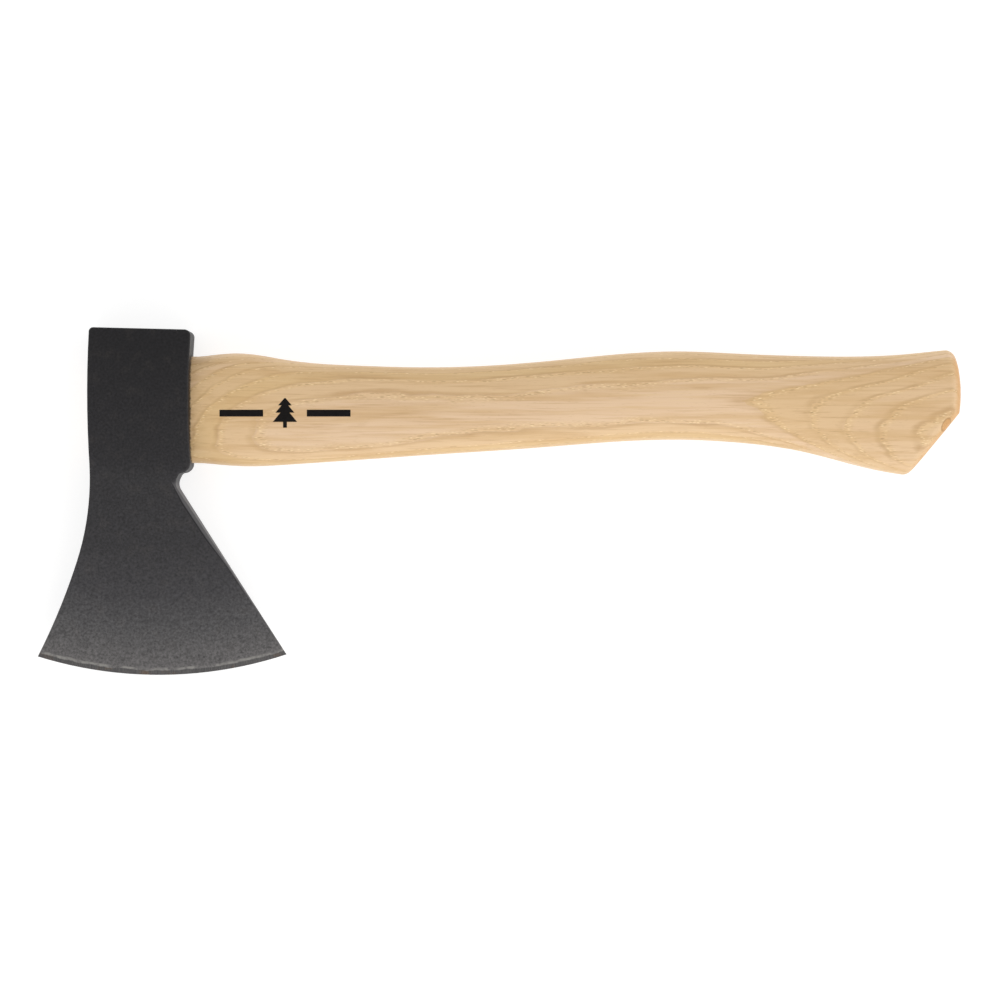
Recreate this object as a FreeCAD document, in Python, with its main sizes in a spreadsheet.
import FreeCAD, Part

# A small forestry hatchet: a drop-forged steel head wedged on to a curved ash handle.
#
# Millimetres. X runs along the handle from the head to the butt, Y runs from the cutting edge up to
# the poll, and Z goes across the cheeks. The hatchet lies on one cheek: Z is zero on that cheek,
# and X and Y are zero at the middle of the eye.

import math
import os

import Sketcher
from FreeCAD import Vector

# The sizes that can each be set by themselves, in millimetres and degrees.
SIZES = [
    # the whole hatchet
    ("overall_length", 360.0, "top face of the head to the end of the butt"),
    # the head's outline, seen square on to a cheek
    ("eye_depth", 42.8, "head measured along the handle"),
    ("poll_height", 33.3, "middle of the eye to the poll"),
    ("poll_tilt", 1.4, "slope of the poll, falling towards the handle"),
    ("side_radius", 365.0, "handle side, which is hollow, so that the poll and the lip stand out"),
    ("crown_radius", 470.0, "top face, which bulges a little"),
    ("crown_height", 7.0, "highest point of that bulge above the middle of the eye"),
    ("lip_depth", 26.2, "middle of the eye to the underside of the lip"),
    ("lip_length", 4.8, "underside of the lip"),
    ("notch_depth", 30.7, "middle of the eye to the corner of the notch"),
    ("notch_setback", 7.1, "handle side of the head to the corner of the notch"),
    ("beard_angle", 33.0, "handle side of the blade from the vertical"),
    ("toe_start_depth", 19.8, "middle of the eye to where the toe side starts to swing out"),
    ("toe_bend_depth", 62.4, "middle of the eye to where the swing slackens"),
    ("toe_bend_out", 4.85, "toe side at that bend, outside the top face"),
    ("toe_tip_out", 21.5, "tip of the toe, outside the top face"),
    ("bit_centre_x", 7.3, "centre of the cutting edge's arc along the handle"),
    ("bit_radius", 169.1, "arc of the cutting edge"),
    ("bit_depth", 109.8, "middle of the eye to the lowest point of the cutting edge"),
    ("poll_top_corner", 1.8, "radius between the poll and the top face"),
    ("poll_side_corner", 2.6, "radius between the poll and the handle side"),
    ("lip_outer_corner", 4.0, "radius at the tip of the lip"),
    ("lip_inner_corner", 1.6, "radius between the lip and the notch"),
    ("notch_radius", 5.0, "radius in the notch"),
    # the head, across the cheeks
    ("head_thickness", 26.0, "over the flat cheeks beside the eye"),
    ("forging_allowance", 2.0, "extra blank on each cheek before it is shaped"),
    ("cheek_flat_depth", 21.0, "middle of the eye to the end of the flat cheek"),
    ("cheek_shoulder_radius", 31.0, "rounding at the end of the flat cheek"),
    ("cheek_angle", 13.0, "slope of the cheek below that rounding"),
    ("blade_thickness", 1.6, "where the hollowed cheeks run out, just past the cutting edge"),
    ("cheek_edge_radius", 0.75, "rounding along the edges of the cheeks"),
    ("bevel_angle", 18.8, "ground bevel from the middle of the blade"),
    ("edge_thickness", 0.3, "flat left on the cutting edge"),
    ("grinding_reach", 8.0, "how far up the blade the grinding tool's side goes"),
    ("grinding_overrun", 3.0, "how far the shaped cheeks run past the cutting edge"),
    # the eye and the tenon in it
    ("mouth_height", 44.2, "eye at the handle side of the head"),
    ("mouth_wall", 3.5, "steel on each side of the eye at the handle side of the head"),
    ("flare_height", 45.2, "eye at the top face"),
    ("flare_wall", 2.7, "steel on each side of the eye at the top face"),
    ("eye_roundness", 0.41, "radius of the eye's small arcs as a share of its width"),
    ("eye_overrun", 2.0, "how far the eye's cutter runs past each face"),
    ("eye_lip_radius", 0.8, "rounding round both ends of the eye"),
    ("eye_clearance", 0.05, "between the tenon and the eye, all round"),
    ("tenon_recess", 1.0, "end of the tenon below the highest part of the top face"),
    # the wooden wedge
    ("kerf_depth", 33.0, "saw cut in the tenon"),
    ("kerf_mouth", 5.0, "width of the opened cut at the end of the tenon"),
    ("kerf_root", 1.6, "width of the cut at its bottom"),
    ("wedge_gap", 3.0, "empty cut below the tip of the wooden wedge"),
    ("wedge_clearance", 0.03, "between the wooden wedge and each side of the cut"),
    # the ring wedge
    ("ring_diameter", 15.4, "outside, at the driven end"),
    ("ring_taper", 0.7, "how much smaller the outside radius is at the sharp end"),
    ("ring_bore", 11.6, "inside"),
    ("ring_length", 20.0, "along the handle"),
    ("ring_tip_wall", 0.4, "wall left at the sharp end"),
    ("ring_tip_length", 4.0, "part of the bore that is opened to make the sharp end"),
    ("ring_clearance", 0.03, "between the ring and the wood on every side"),
    # the butt of the handle
    ("butt_radius", 60.0, "crown of the butt"),
    ("butt_crown_height", 7.3, "furthest point of the butt above the middle of the eye"),
    ("cut_start_depth", 1.6, "middle of the eye to where the slanted cut leaves the butt"),
    ("cut_angle", 39.2, "slanted cut from the vertical"),
    ("cut_corner_radius", 1.2, "corner between the butt and the slanted cut"),
    ("butt_edge_radius", 4.2, "rounding round the butt and the slanted cut"),
    ("butt_overrun", 8.0, "blank left past the butt before it is cut"),
]

# The handle's sections. Each has a place as a share of the length from the head to the butt, a top
# and a bottom measured from the middle of the eye, an inset from the plane of each cheek, and the
# radius of the small arcs at its top and bottom as a share of its thickness. The insets keep the
# handle between the planes of the two cheeks.
SECTION_SIZES = ("place", "top", "bottom", "inset", "roundness")

# The places of these are measured from the handle side of the head ...
HEAD_END_SECTIONS = [
    ("collar", 0.0296, 22.8, -22.6, 2.4, 0.405),
    ("shoulder", 0.0659, 23.3, -23.4, 1.7, 0.4),
    ("neck", 0.1214, 20.7, -22.8, 1.7, 0.405),
    ("throat", 0.215, 18.3, -20.8, 2.0, 0.42),
    ("waist", 0.3086, 17.6, -18.7, 2.2, 0.425),
]

# ... and the places of these from the end of the butt.
BUTT_END_SECTIONS = [
    ("grip", 0.5498, 19.8, -15.7, 2.2, 0.425),
    ("hump", 0.3638, 24.2, -12.4, 1.8, 0.42),
    ("slope", 0.285, 23.2, -13.7, 1.5, 0.415),
    ("dip", 0.2062, 22.3, -17.2, 1.1, 0.41),
    ("swell", 0.1274, 22.1, -23.6, 0.4, 0.41),
    ("knob", 0.0706, 23.0, -27.0, 0.1, 0.41),
    ("butt", 0.017, 24.7, -28.2, 0.1, 0.41),
]

MIDDLE = "sizes.head_thickness / 2"
HEAD_SIDE = "sizes.eye_depth / 2"
TOP_FACE = "-sizes.eye_depth / 2"
TENON_END = "(-sizes.eye_depth / 2 + sizes.tenon_recess)"
BUTT_END = "(sizes.overall_length - sizes.eye_depth / 2)"
GRIP_LENGTH = "(sizes.overall_length - sizes.eye_depth)"
BIT_CENTRE_Y = "(sizes.bit_radius - sizes.bit_depth)"
EYE_WIDTH = {
    "mouth": "(sizes.head_thickness - 2 * sizes.mouth_wall)",
    "flare": "(sizes.head_thickness - 2 * sizes.flare_wall)",
}
EYE_HEIGHT = {"mouth": "sizes.mouth_height", "flare": "sizes.flare_height"}

# Sketcher's numbers for a sketch's own axes, and for the points of a line or an arc.
AXES = -1
START, END, CENTRE = 1, 2, 3

# How near two places must be to count as one.
SAME = 1e-3

# A pocket that is cut both ways from its sketch, right through the solid.
THROUGH = {"SideType": "Symmetric", "Type": "ThroughAll"}

doc = FreeCAD.newDocument("hatchet")


# ---------------------------------------------------------------- sheet and sketch helpers

def make_sheet():
    """Write every driving size into a spreadsheet, one row each, with an alias."""
    rows = list(SIZES)
    for section in HEAD_END_SECTIONS + BUTT_END_SECTIONS:
        name = section[0]
        for word, value in zip(SECTION_SIZES, section[1:]):
            rows.append((f"{name}_{word}", value, f"handle section: {name}, {word}"))
    sheet = doc.addObject("Spreadsheet::Sheet", "sizes")
    for number, (alias, value, meaning) in enumerate(rows, start=1):
        sheet.set(f"A{number}", meaning)
        sheet.set(f"B{number}", str(value))
        sheet.setAlias(f"B{number}", alias)
    doc.recompute()
    return sheet


def value_of(expression):
    """Return an expression's present value as a plain number."""
    return float(sheet.evalExpression(expression))


def make_body(name):
    body = doc.addObject("PartDesign::Body", name)
    body.Label = name
    return body


def add_sketch(body, name, role, offset):
    """Attach a sketch to one of the body's origin planes, moved by three expressions."""
    sketch = body.newObject("Sketcher::SketchObject", name)
    plane = next(item for item in body.Origin.OriginFeatures if item.Role == role)
    sketch.AttachmentSupport = [(plane, "")]
    sketch.MapMode = "FlatFace"
    for letter, expression in zip("xyz", offset):
        sketch.setExpression(f"AttachmentOffset.Base.{letter}", expression)
    return sketch


def add_size(sketch, expression, kind, *places):
    """Dimension a sketch and tie the dimension to the sheet."""
    number = value_of(expression)
    if kind == "Angle":
        number = math.radians(number)
    index = sketch.addConstraint(Sketcher.Constraint(kind, *places, number))
    sketch.setExpression(f"Constraints[{index}]", expression)


def set_point(sketch, item, end, across, up):
    """Fix one point of a sketch's item by its two distances from the sketch's origin."""
    add_size(sketch, across, "DistanceX", AXES, START, item, end)
    add_size(sketch, up, "DistanceY", AXES, START, item, end)


def add_line(sketch, start, end):
    """Draw a line; the answer names the item and the ends of it that come first and last."""
    return sketch.addGeometry(Part.LineSegment(Vector(*start), Vector(*end))), START, END


def add_arc(sketch, centre, start, end, clockwise=False):
    """Draw an arc from its centre and ends; the answer is as for a line."""
    centre, start, end = Vector(*centre), Vector(*start), Vector(*end)
    first, last = (end, start) if clockwise else (start, end)
    angles = [math.atan2(point.y - centre.y, point.x - centre.x) for point in (first, last)]
    circle = Part.Circle(centre, Vector(0, 0, 1), (start - centre).Length)
    item = sketch.addGeometry(Part.ArcOfCircle(circle, *angles))
    return (item, END, START) if clockwise else (item, START, END)


def join(sketch, items, smooth=()):
    """Join each item's last end to the next one's first end, tangent after the items in smooth."""
    for number, (item, _, last) in enumerate(items):
        following, first, _ = items[(number + 1) % len(items)]
        kind = "Tangent" if number in smooth else "Coincident"
        sketch.addConstraint(Sketcher.Constraint(kind, item, last, following, first))


def add_polygon(sketch, corners):
    """Draw a closed polygon whose corners are pairs of expressions."""
    points = [(value_of(across), value_of(up)) for across, up in corners]
    items = [add_line(sketch, point, points[(i + 1) % len(points)]) for i, point in enumerate(points)]
    join(sketch, items)
    for (item, first, _), (across, up) in zip(items, corners):
        set_point(sketch, item, first, across, up)


def add_oval(sketch, top, bottom, thickness, end_radius):
    """Draw an oval of four tangent arcs, long along the sketch's first axis."""
    side_radius = (
        f"((({thickness}) / 2)^2 + ((({top}) - ({bottom})) / 2 - ({end_radius}))^2"
        f" - ({end_radius})^2) / (({thickness}) - 2 * ({end_radius}))"
    )
    high, low, thick, small, large = (
        value_of(item) for item in (top, bottom, thickness, end_radius, side_radius)
    )
    reach = (high - low) / 2 - small
    sink = large - thick / 2
    turn = math.atan2(sink, reach)
    arcs = [
        (high - small, 0, small, -turn, turn),
        ((high + low) / 2, -sink, large, turn, math.pi - turn),
        (low + small, 0, small, math.pi - turn, math.pi + turn),
        ((high + low) / 2, sink, large, math.pi + turn, 2 * math.pi - turn),
    ]
    items = []
    for across, up, radius, first, last in arcs:
        circle = Part.Circle(Vector(across, up), Vector(0, 0, 1), radius)
        items.append((sketch.addGeometry(Part.ArcOfCircle(circle, first, last)), START, END))
    join(sketch, items, smooth=range(4))
    upper, side, lower, other_side = (item for item, _, _ in items)
    sketch.addConstraint(Sketcher.Constraint("PointOnObject", upper, CENTRE, AXES))
    sketch.addConstraint(Sketcher.Constraint("PointOnObject", lower, CENTRE, AXES))
    sketch.addConstraint(Sketcher.Constraint("Equal", upper, lower))
    sketch.addConstraint(Sketcher.Constraint("Equal", side, other_side))
    add_size(sketch, f"({top}) - ({end_radius})", "DistanceX", AXES, START, upper, CENTRE)
    add_size(sketch, f"({bottom}) + ({end_radius})", "DistanceX", AXES, START, lower, CENTRE)
    add_size(sketch, end_radius, "Radius", upper)
    add_size(sketch, side_radius, "Radius", side)


# ---------------------------------------------------------------- feature helpers

def check_object(item):
    """Stop if an object has failed, or if its shape is missing or not valid."""
    if "Invalid" in item.State or "Error" in item.State:
        raise RuntimeError(f"{item.Name} has failed: {item.State}")
    if item.isDerivedFrom("PartDesign::Feature") and (item.Shape.isNull() or not item.Shape.isValid()):
        raise RuntimeError(f"{item.Name} has no valid shape")


def add_feature(body, kind, name, sketch, **settings):
    """Add a feature made from a sketch, and check that it changed the volume the right way."""
    before = body.Shape.Volume if body.Tip else 0.0
    feature = body.newObject(f"PartDesign::{kind}", name)
    feature.Profile = sketch
    for key, setting in settings.items():
        setattr(feature, key, setting)
    doc.recompute()
    check_object(feature)
    change = feature.Shape.Volume - before
    removes = kind in ("Pocket", "Groove", "SubtractiveLoft")
    if change == 0 or (change < 0) != removes:
        raise RuntimeError(f"{name} changed the volume by {change:.4f}")
    return feature


def add_rounding(body, name, radius, wanted):
    """Fillet every edge of the body that a test picks out."""
    base = body.Tip
    names = [f"Edge{i}" for i, edge in enumerate(base.Shape.Edges, start=1) if wanted(base.Shape, edge)]
    if not names:
        raise RuntimeError(f"{name} has found no edge")
    fillet = body.newObject("PartDesign::Fillet", name)
    fillet.Base = (base, names)
    fillet.setExpression("Radius", radius)
    doc.recompute()
    check_object(fillet)


def is_wall(face):
    """Say whether a face stands square to the cheeks."""
    low_u, high_u, low_v, high_v = face.ParameterRange
    return abs(face.normalAt((low_u + high_u) / 2, (low_v + high_v) / 2).z) < SAME


def bounds_a_wall(shape, edge):
    """Say whether an edge has a wall on one side and some other face on the other."""
    return sorted(is_wall(face) for face in shape.ancestorsOfType(edge, Part.Face)) == [False, True]


def stands_on(edge, corner):
    """Say whether an edge is the upright one through a corner of an outline."""
    return all(math.dist((end.X, end.Y), (corner.x, corner.y)) < SAME for end in edge.Vertexes)


# ---------------------------------------------------------------- axe head

def arc_centre(start, direction, end):
    """Find the centre of the arc that leaves start in a direction and ends at end."""
    normal = Vector(-direction.y, direction.x)
    chord = end - start
    return start + normal * (chord.dot(chord) / (2 * chord.dot(normal)))


def add_leaving_arc(sketch, start, direction, end):
    """Draw the arc that leaves start in a direction and ends at end.

    The answer is the item, as for a line, and the direction in which the arc arrives at its end.
    """
    chord = end - start
    arrival = chord * (2 * chord.dot(direction) / chord.dot(chord)) - direction
    clockwise = direction.x * chord.y < direction.y * chord.x
    item = add_arc(sketch, arc_centre(start, direction, end), start, end, clockwise)
    return item, arrival




# The outline's items in order, each named after the corner that it starts from.
HEAD_CORNERS = (
    "poll_side", "poll_top", "toe_start", "toe_bend", "toe_tip", "heel", "notch", "lip_root", "lip_tip",
)


def draw_head(sketch):
    """Draw the head square on: poll, top face, toe side, cutting edge, beard, notch and lip."""
    poll_side_y = "sizes.poll_height - sizes.eye_depth / 2 * tan(sizes.poll_tilt)"
    crown_x = "sizes.crown_radius - sizes.eye_depth / 2"
    bend_x = f"{TOP_FACE} - sizes.toe_bend_out"
    toe_x = f"{TOP_FACE} - sizes.toe_tip_out"
    notch_x = f"{HEAD_SIDE} - sizes.notch_setback"
    lip_root_x = f"{HEAD_SIDE} - sizes.lip_length"

    # where the sketch starts from; its dimensions then hold it there
    half = value_of(HEAD_SIDE)
    crown = Vector(value_of(crown_x), value_of("sizes.crown_height"))
    bit = Vector(value_of("sizes.bit_centre_x"), value_of(BIT_CENTRE_Y))
    crown_radius, bit_radius = value_of("sizes.crown_radius"), value_of("sizes.bit_radius")

    def on_crown(up):
        return Vector(crown.x - math.sqrt(crown_radius ** 2 - (up - crown.y) ** 2), up)

    def on_bit(across):
        return Vector(across, bit.y - math.sqrt(bit_radius ** 2 - (across - bit.x) ** 2))

    poll_side = Vector(half, value_of(poll_side_y))
    poll_top = on_crown(value_of("sizes.poll_height + sizes.eye_depth / 2 * tan(sizes.poll_tilt)"))
    toe_start = on_crown(value_of("-sizes.toe_start_depth"))
    toe_bend = Vector(value_of(bend_x), value_of("-sizes.toe_bend_depth"))
    toe_tip = on_bit(value_of(toe_x))
    notch = Vector(value_of(notch_x), value_of("-sizes.notch_depth"))
    heel_rise = value_of("(sizes.bit_depth - sizes.notch_depth) * tan(sizes.beard_angle)")
    heel = on_bit(notch.x + heel_rise)
    lip_root = Vector(value_of(lip_root_x), value_of("-sizes.lip_depth"))
    lip_tip = Vector(half, value_of("-sizes.lip_depth"))
    side_turn = math.asin((poll_side.y - lip_tip.y) / 2 / value_of("sizes.side_radius"))
    side_direction = Vector(-math.sin(side_turn), math.cos(side_turn))

    poll_item = add_line(sketch, poll_side, poll_top)
    crown_item = add_arc(sketch, crown, poll_top, toe_start)
    away = toe_start - crown
    upper_item, onward = add_leaving_arc(
        sketch, toe_start, Vector(-away.y, away.x).normalize(), toe_bend)
    lower_item, _ = add_leaving_arc(sketch, toe_bend, onward, toe_tip)
    side_item, _ = add_leaving_arc(sketch, lip_tip, side_direction, poll_side)
    items = [
        poll_item,
        crown_item,
        upper_item,
        lower_item,
        add_arc(sketch, bit, toe_tip, heel),
        add_line(sketch, heel, notch),
        add_line(sketch, notch, lip_root),
        add_line(sketch, lip_root, lip_tip),
        side_item,
    ]
    join(sketch, items, smooth=(1, 2))
    poll, top_face, toe_upper, toe_lower, edge, beard, notch_side, lip, side = (
        item for item, _, _ in items
    )
    set_point(sketch, poll, START, HEAD_SIDE, poll_side_y)
    add_size(sketch, "180 - sizes.poll_tilt", "Angle", poll)
    set_point(sketch, top_face, CENTRE, crown_x, "sizes.crown_height")
    add_size(sketch, "sizes.crown_radius", "Radius", top_face)
    add_size(sketch, "-sizes.toe_start_depth", "DistanceY", AXES, START, top_face, END)
    set_point(sketch, toe_upper, upper_item[2], bend_x, "-sizes.toe_bend_depth")
    add_size(sketch, toe_x, "DistanceX", AXES, START, toe_lower, lower_item[2])
    set_point(sketch, edge, CENTRE, "sizes.bit_centre_x", BIT_CENTRE_Y)
    add_size(sketch, "sizes.bit_radius", "Radius", edge)
    add_size(sketch, "90 + sizes.beard_angle", "Angle", beard)
    set_point(sketch, notch_side, START, notch_x, "-sizes.notch_depth")
    set_point(sketch, lip, START, lip_root_x, "-sizes.lip_depth")
    set_point(sketch, side, side_item[1], HEAD_SIDE, "-sizes.lip_depth")
    add_size(sketch, "sizes.side_radius", "Radius", side)
    return dict(zip(HEAD_CORNERS, items))


def draw_cheek(sketch, side):
    """Draw what is forged away from one cheek, turned about the middle of the cutting edge's arc.

    The flat cheek ends in a rounding, and below it a hollow runs down to the cutting edge.
    """
    # distances from the arc's centre are negative, because the blade lies below it
    flat_end = f"-({BIT_CENTRE_Y} + sizes.cheek_flat_depth)"
    hollow_start = f"{flat_end} - sizes.cheek_shoulder_radius * sin(sizes.cheek_angle)"
    face = f"{side} * {MIDDLE}"
    outside = f"{side} * ({MIDDLE} + 2 * sizes.forging_allowance)"
    hollow_face = f"{side} * ({MIDDLE} - sizes.cheek_shoulder_radius * (1 - cos(sizes.cheek_angle)))"
    rim = "-(sizes.bit_radius + sizes.grinding_overrun)"
    rim_face = f"{side} * sizes.blade_thickness / 2"
    rounding_centre = f"{side} * ({MIDDLE} - sizes.cheek_shoulder_radius)"

    corners = [
        (value_of(across), value_of(up))
        for across, up in (
            ("0", face), (flat_end, face), (hollow_start, hollow_face),
            (rim, rim_face), (rim, outside), ("0", outside),
        )
    ]
    axis_face, flat_corner, hollow_corner, rim_corner, rim_outside, axis_outside = (
        Vector(*corner) for corner in corners
    )
    rounding = Vector(value_of(flat_end), value_of(rounding_centre))
    away = hollow_corner - rounding
    hollow = arc_centre(hollow_corner, Vector(-side * away.y, side * away.x).normalize(), rim_corner)
    items = [
        add_line(sketch, axis_face, flat_corner),
        add_arc(sketch, rounding, flat_corner, hollow_corner, clockwise=side < 0),
        add_arc(sketch, hollow, hollow_corner, rim_corner, clockwise=side > 0),
        add_line(sketch, rim_corner, rim_outside),
        add_line(sketch, rim_outside, axis_outside),
        add_line(sketch, axis_outside, axis_face),
    ]
    join(sketch, items, smooth=(0, 1))
    flat, shoulder, _, rim_line, outer, inner = (item for item, _, _ in items)
    set_point(sketch, flat, START, "0", face)
    sketch.addConstraint(Sketcher.Constraint("Horizontal", flat))
    add_size(sketch, flat_end, "DistanceX", AXES, START, flat, END)
    add_size(sketch, "sizes.cheek_shoulder_radius", "Radius", shoulder)
    add_size(sketch, hollow_start, "DistanceX", AXES, START, shoulder, END if side > 0 else START)
    set_point(sketch, rim_line, START, rim, rim_face)
    set_point(sketch, outer, START, rim, outside)
    set_point(sketch, inner, START, "0", outside)


def draw_bevel(sketch, side):
    """Draw what is ground away from one side of the cutting edge."""
    edge = f"{side} * sizes.edge_thickness / 2"
    clear = f"{edge} + {side} * sizes.grinding_reach * tan(sizes.bevel_angle)"
    outside = f"{clear} + {side} * sizes.forging_allowance"
    start = "-(sizes.bit_radius - sizes.grinding_reach)"
    rim = "-(sizes.bit_radius + sizes.grinding_overrun)"
    add_polygon(sketch, [
        (start, clear),
        ("-sizes.bit_radius", edge),
        (rim, edge),
        (rim, outside),
        (start, outside),
    ])


def eye_size(ends, distance):
    """Return the eye's height or width at a distance from the mouth towards the top face."""
    mouth, flare = ends["mouth"], ends["flare"]
    return f"({mouth} + ({flare} - {mouth}) * ({distance}) / sizes.eye_depth)"


def add_eye_sketch(body, name, distance, gap="0"):
    """Draw the eye's oval, made smaller all round by a gap, at a distance from its mouth."""
    place = ("0", MIDDLE, f"{HEAD_SIDE} - ({distance})")
    sketch = add_sketch(body, name, "YZ_Plane", place)
    height = f"{eye_size(EYE_HEIGHT, distance)} - 2 * {gap}"
    width = eye_size(EYE_WIDTH, distance)
    end_radius = f"sizes.eye_roundness * {width} - {gap}"
    add_oval(sketch, f"({height}) / 2", f"-({height}) / 2", f"{width} - 2 * {gap}", end_radius)
    return sketch


def make_head():
    """Forge the blank, hollow its cheeks, round its edges, cut the eye and grind the bit."""
    body = make_body("axe_head")
    outline = add_sketch(body, "head_outline", "XY_Plane", ("0", "0", MIDDLE))
    items = draw_head(outline)
    blank = add_feature(body, "Pad", "head_blank", outline, SideType="Symmetric")
    blank.setExpression("Length", "sizes.head_thickness + 2 * sizes.forging_allowance")
    doc.recompute()

    roundings = [
        ("poll_top", "sizes.poll_top_corner"),
        ("poll_side", "sizes.poll_side_corner"),
        ("lip_tip", "min(sizes.lip_outer_corner; 0.84 * sizes.lip_length)"),
        ("lip_root", "min(sizes.lip_inner_corner; 0.34 * sizes.lip_length)"),
        ("notch", "sizes.notch_radius"),
    ]
    for name, radius in roundings:
        item, first, _ = items[name]
        corner = outline.getPoint(item, first)
        add_rounding(body, f"{name}_corner", radius, lambda shape, edge: stands_on(edge, corner))

    bit_axis = (BIT_CENTRE_Y, MIDDLE, "sizes.bit_centre_x")
    cheeks = add_sketch(body, "cheek_profile", "YZ_Plane", bit_axis)
    for side in (1, -1):
        draw_cheek(cheeks, side)
    add_feature(body, "Groove", "cheek_hollows", cheeks, ReferenceAxis=(cheeks, ["V_Axis"]), Angle=360)

    bit_centre = (value_of("sizes.bit_centre_x"), value_of(BIT_CENTRE_Y))
    bit_radius = value_of("sizes.bit_radius")

    def beside_cheek(shape, edge):
        reach = [math.dist((end.X, end.Y), bit_centre) for end in edge.Vertexes]
        on_bit = all(abs(distance - bit_radius) < SAME for distance in reach)
        return bounds_a_wall(shape, edge) and not on_bit

    add_rounding(body, "cheek_edges", "sizes.cheek_edge_radius", beside_cheek)

    top = add_eye_sketch(body, "eye_top", "sizes.eye_depth + sizes.eye_overrun")
    mouth = add_eye_sketch(body, "eye_mouth", "-sizes.eye_overrun")
    add_feature(body, "SubtractiveLoft", "eye", top, Sections=[mouth], Ruled=True)

    lip_height = value_of(f"{EYE_HEIGHT['flare']} / 2 + sizes.eye_lip_radius")
    lip_width = value_of(f"{EYE_WIDTH['flare']} / 2 + sizes.eye_lip_radius")

    def around_eye(shape, edge):
        inside = all(
            abs(end.Y) < lip_height and abs(end.Z - value_of(MIDDLE)) < lip_width for end in edge.Vertexes
        )
        return inside and edge.BoundBox.XLength < value_of("sizes.eye_overrun")

    add_rounding(body, "eye_lips", "sizes.eye_lip_radius", around_eye)

    bevel = add_sketch(body, "bevel_profile", "YZ_Plane", bit_axis)
    for side in (1, -1):
        draw_bevel(bevel, side)
    add_feature(
        body, "Groove", "ground_bevel", bevel,
        ReferenceAxis=(bevel, ["V_Axis"]), Angle=90, Midplane=True)
    return body


# ---------------------------------------------------------------- handle and wedges

def kerf_half_width(distance):
    """Return half the opened cut's width at a distance from the end of the tenon."""
    return (
        f"((sizes.kerf_mouth - (sizes.kerf_mouth - sizes.kerf_root) * ({distance}) / sizes.kerf_depth) / 2)"
    )


def draw_ring(sketch, gap="0"):
    """Draw the ring wedge's wall, grown by a gap on every side."""
    outer = "sizes.ring_diameter / 2"
    tip = f"({TENON_END} + sizes.ring_length)"
    add_polygon(sketch, [
        (f"{TENON_END} - {gap}", f"{outer} + {gap}"),
        (f"{tip} + {gap}", f"{outer} - sizes.ring_taper + {gap}"),
        (f"{tip} + {gap}", f"{outer} - sizes.ring_taper - sizes.ring_tip_wall - {gap}"),
        (f"{tip} - sizes.ring_tip_length", f"sizes.ring_bore / 2 - {gap}"),
        (f"{TENON_END} - {gap}", f"sizes.ring_bore / 2 - {gap}"),
    ])


def cut_ring_slot(body):
    """Make the ring-shaped slot that the ring wedge has driven for itself."""
    sketch = add_sketch(body, f"{body.Label}_ring_profile", "XZ_Plane", ("0", MIDDLE, "0"))
    draw_ring(sketch, "sizes.ring_clearance")
    name = f"{body.Label}_ring_slot"
    add_feature(body, "Groove", name, sketch, ReferenceAxis=(sketch, ["H_Axis"]), Angle=360)


def draw_kerf(sketch):
    """Draw the saw cut for the wooden wedge, opened by it, from past the tenon's end to its root."""
    start = f"{TENON_END} - sizes.eye_overrun"
    root = f"{TENON_END} + sizes.kerf_depth"
    start_width = kerf_half_width("-sizes.eye_overrun")
    root_width = kerf_half_width("sizes.kerf_depth")
    add_polygon(sketch, [
        (start, f"-{start_width}"),
        (root, f"-{root_width}"),
        (root, root_width),
        (start, start_width),
    ])


def draw_section(sketch, name):
    """Draw one of the handle's ovals with the sizes of that name."""
    thickness = f"(sizes.head_thickness - 2 * sizes.{name}_inset)"
    end_radius = f"sizes.{name}_roundness * {thickness}"
    add_oval(sketch, f"sizes.{name}_top", f"sizes.{name}_bottom", thickness, end_radius)


def add_section(body, name, place):
    """Draw one of the handle's sections at a place along X."""
    sketch = add_sketch(body, f"{name}_section", "YZ_Plane", ("0", MIDDLE, place))
    draw_section(sketch, name)
    return sketch


def draw_butt_cut(sketch):
    """Draw what is sawn off past the crowned butt and below the slanted cut."""
    centre_x = f"{BUTT_END} - sizes.butt_radius"
    high = "sizes.butt_top + sizes.butt_overrun"
    low = "sizes.butt_bottom - sizes.butt_overrun"
    far = f"{BUTT_END} + 2 * sizes.butt_overrun"
    radius = value_of("sizes.butt_radius")
    centre = Vector(value_of(centre_x), value_of("sizes.butt_crown_height"))

    def on_butt(up):
        return Vector(centre.x + math.sqrt(radius ** 2 - (up - centre.y) ** 2), up)

    top = on_butt(value_of(high))
    corner = on_butt(value_of("-sizes.cut_start_depth"))
    slant = value_of(f"(-sizes.cut_start_depth - ({low})) * tan(sizes.cut_angle)")
    low_corner = Vector(corner.x - slant, value_of(low))
    far_low = Vector(value_of(far), low_corner.y)
    far_high = Vector(far_low.x, top.y)
    items = [
        add_arc(sketch, centre, corner, top),
        add_line(sketch, top, far_high),
        add_line(sketch, far_high, far_low),
        add_line(sketch, far_low, low_corner),
        add_line(sketch, low_corner, corner),
    ]
    join(sketch, items)
    crown, upper, side, lower, cut = (item for item, _, _ in items)
    set_point(sketch, crown, CENTRE, centre_x, "sizes.butt_crown_height")
    add_size(sketch, "sizes.butt_radius", "Radius", crown)
    add_size(sketch, "-sizes.cut_start_depth", "DistanceY", AXES, START, crown, START)
    sketch.addConstraint(Sketcher.Constraint("Horizontal", upper))
    set_point(sketch, side, START, far, high)
    set_point(sketch, lower, START, far, low)
    sketch.addConstraint(Sketcher.Constraint("Horizontal", lower))
    add_size(sketch, "90 - sizes.cut_angle", "Angle", cut)


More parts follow.
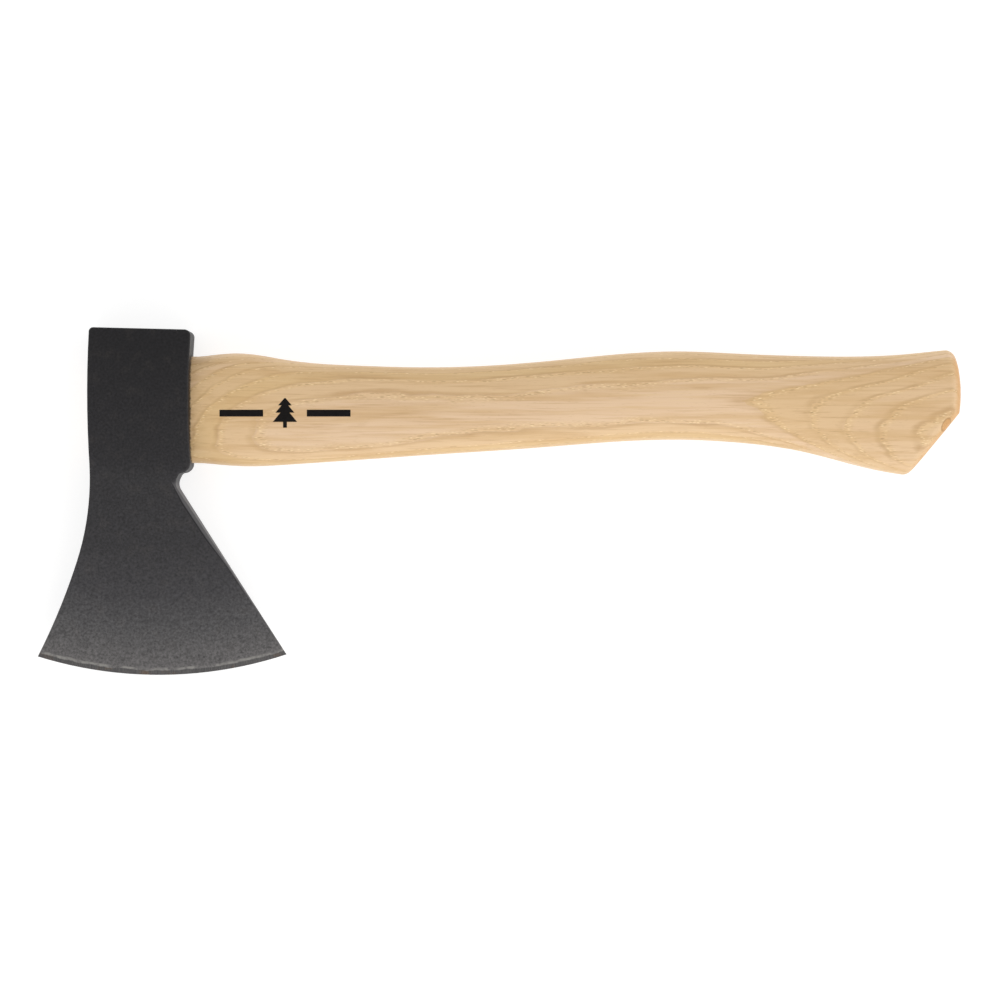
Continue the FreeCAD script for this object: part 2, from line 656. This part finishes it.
def make_handle():
    """Turn the tenon and the grip, trim and round the butt, and open the slots for both wedges."""
    body = make_body("handle")
    gap = "sizes.eye_clearance"
    end = add_eye_sketch(body, "tenon_end", "sizes.eye_depth - sizes.tenon_recess", gap)
    root = add_eye_sketch(body, "tenon_root", "0", gap)
    add_feature(body, "AdditiveLoft", "tenon", end, Sections=[root], Ruled=True)

    start = add_eye_sketch(body, "grip_start", "0", gap)
    sections = [
        add_section(body, name, f"{HEAD_SIDE} + sizes.{name}_place * {GRIP_LENGTH}")
        for name, *_ in HEAD_END_SECTIONS
    ]
    sections += [
        add_section(body, name, f"{BUTT_END} - sizes.{name}_place * {GRIP_LENGTH}")
        for name, *_ in BUTT_END_SECTIONS
    ]
    past_butt = ("0", MIDDLE, f"{BUTT_END} + sizes.butt_overrun")
    last = add_sketch(body, "past_butt_section", "YZ_Plane", past_butt)
    draw_section(last, "butt")
    add_feature(body, "AdditiveLoft", "grip", start, Sections=sections + [last])

    cut = add_sketch(body, "butt_cut", "XY_Plane", ("0", "0", MIDDLE))
    draw_butt_cut(cut)
    add_feature(body, "Pocket", "trimmed_butt", cut, **THROUGH)
    corner = cut.getPoint(0, START)
    add_rounding(
        body, "cut_corner", "sizes.cut_corner_radius", lambda shape, edge: stands_on(edge, corner))

    def around_butt(shape, edge):
        return edge.CenterOfMass.x > value_of(HEAD_SIDE) and bounds_a_wall(shape, edge)

    add_rounding(body, "butt_edges", "sizes.butt_edge_radius", around_butt)

    kerf = add_sketch(body, "kerf_profile", "XZ_Plane", ("0", MIDDLE, "0"))
    draw_kerf(kerf)
    add_feature(body, "Pocket", "kerf", kerf, **THROUGH)
    cut_ring_slot(body)
    return body


def make_wooden_wedge():
    """Shape a slip of the tenon's own oval, planed to the kerf's taper and stopping short of its root."""
    body = make_body("wooden_wedge")
    gap = "sizes.eye_clearance"
    length = "(sizes.kerf_depth - sizes.wedge_gap)"
    end = add_eye_sketch(body, "wedge_end", "sizes.eye_depth - sizes.tenon_recess", gap)
    tip = add_eye_sketch(body, "wedge_tip", f"sizes.eye_depth - sizes.tenon_recess - {length}", gap)
    add_feature(body, "AdditiveLoft", "wedge_blank", end, Sections=[tip], Ruled=True)

    sides = add_sketch(body, "wedge_sides", "XZ_Plane", ("0", MIDDLE, "0"))
    for side in (1, -1):
        tip_x = f"{TENON_END} + {length}"
        outside = f"{side} * {EYE_WIDTH['flare']}"
        add_polygon(sides, [
            (TENON_END, f"{side} * ({kerf_half_width('0')} - sizes.wedge_clearance)"),
            (tip_x, f"{side} * ({kerf_half_width(length)} - sizes.wedge_clearance)"),
            (tip_x, outside),
            (TENON_END, outside),
        ])
    add_feature(body, "Pocket", "planed_sides", sides, **THROUGH)
    cut_ring_slot(body)
    return body


def make_ring_wedge():
    """Turn the tapered steel ring that is driven in over both woods."""
    body = make_body("ring_wedge")
    sketch = add_sketch(body, "ring_profile", "XZ_Plane", ("0", MIDDLE, "0"))
    draw_ring(sketch)
    add_feature(body, "Revolution", "ring", sketch, ReferenceAxis=(sketch, ["H_Axis"]), Angle=360)
    return body


def write_parts(bodies):
    """Check every object in the document, then write one file for each sub-part."""
    doc.recompute()
    for item in doc.Objects:
        check_object(item)
    for body in bodies:
        if body.Shape.isNull() or not body.Shape.isValid():
            raise RuntimeError(f"{body.Label} has no valid shape")
    os.makedirs("parts", exist_ok=True)
    for body in bodies:
        print(f"{body.Label}: {len(body.Shape.Solids)} solid(s), {body.Shape.Volume / 1000:.2f} cubic cm")
        body.Shape.exportStep(os.path.join("parts", f"{body.Label}.step"))


sheet = make_sheet()
write_parts([make_head(), make_handle(), make_wooden_wedge(), make_ring_wedge()])
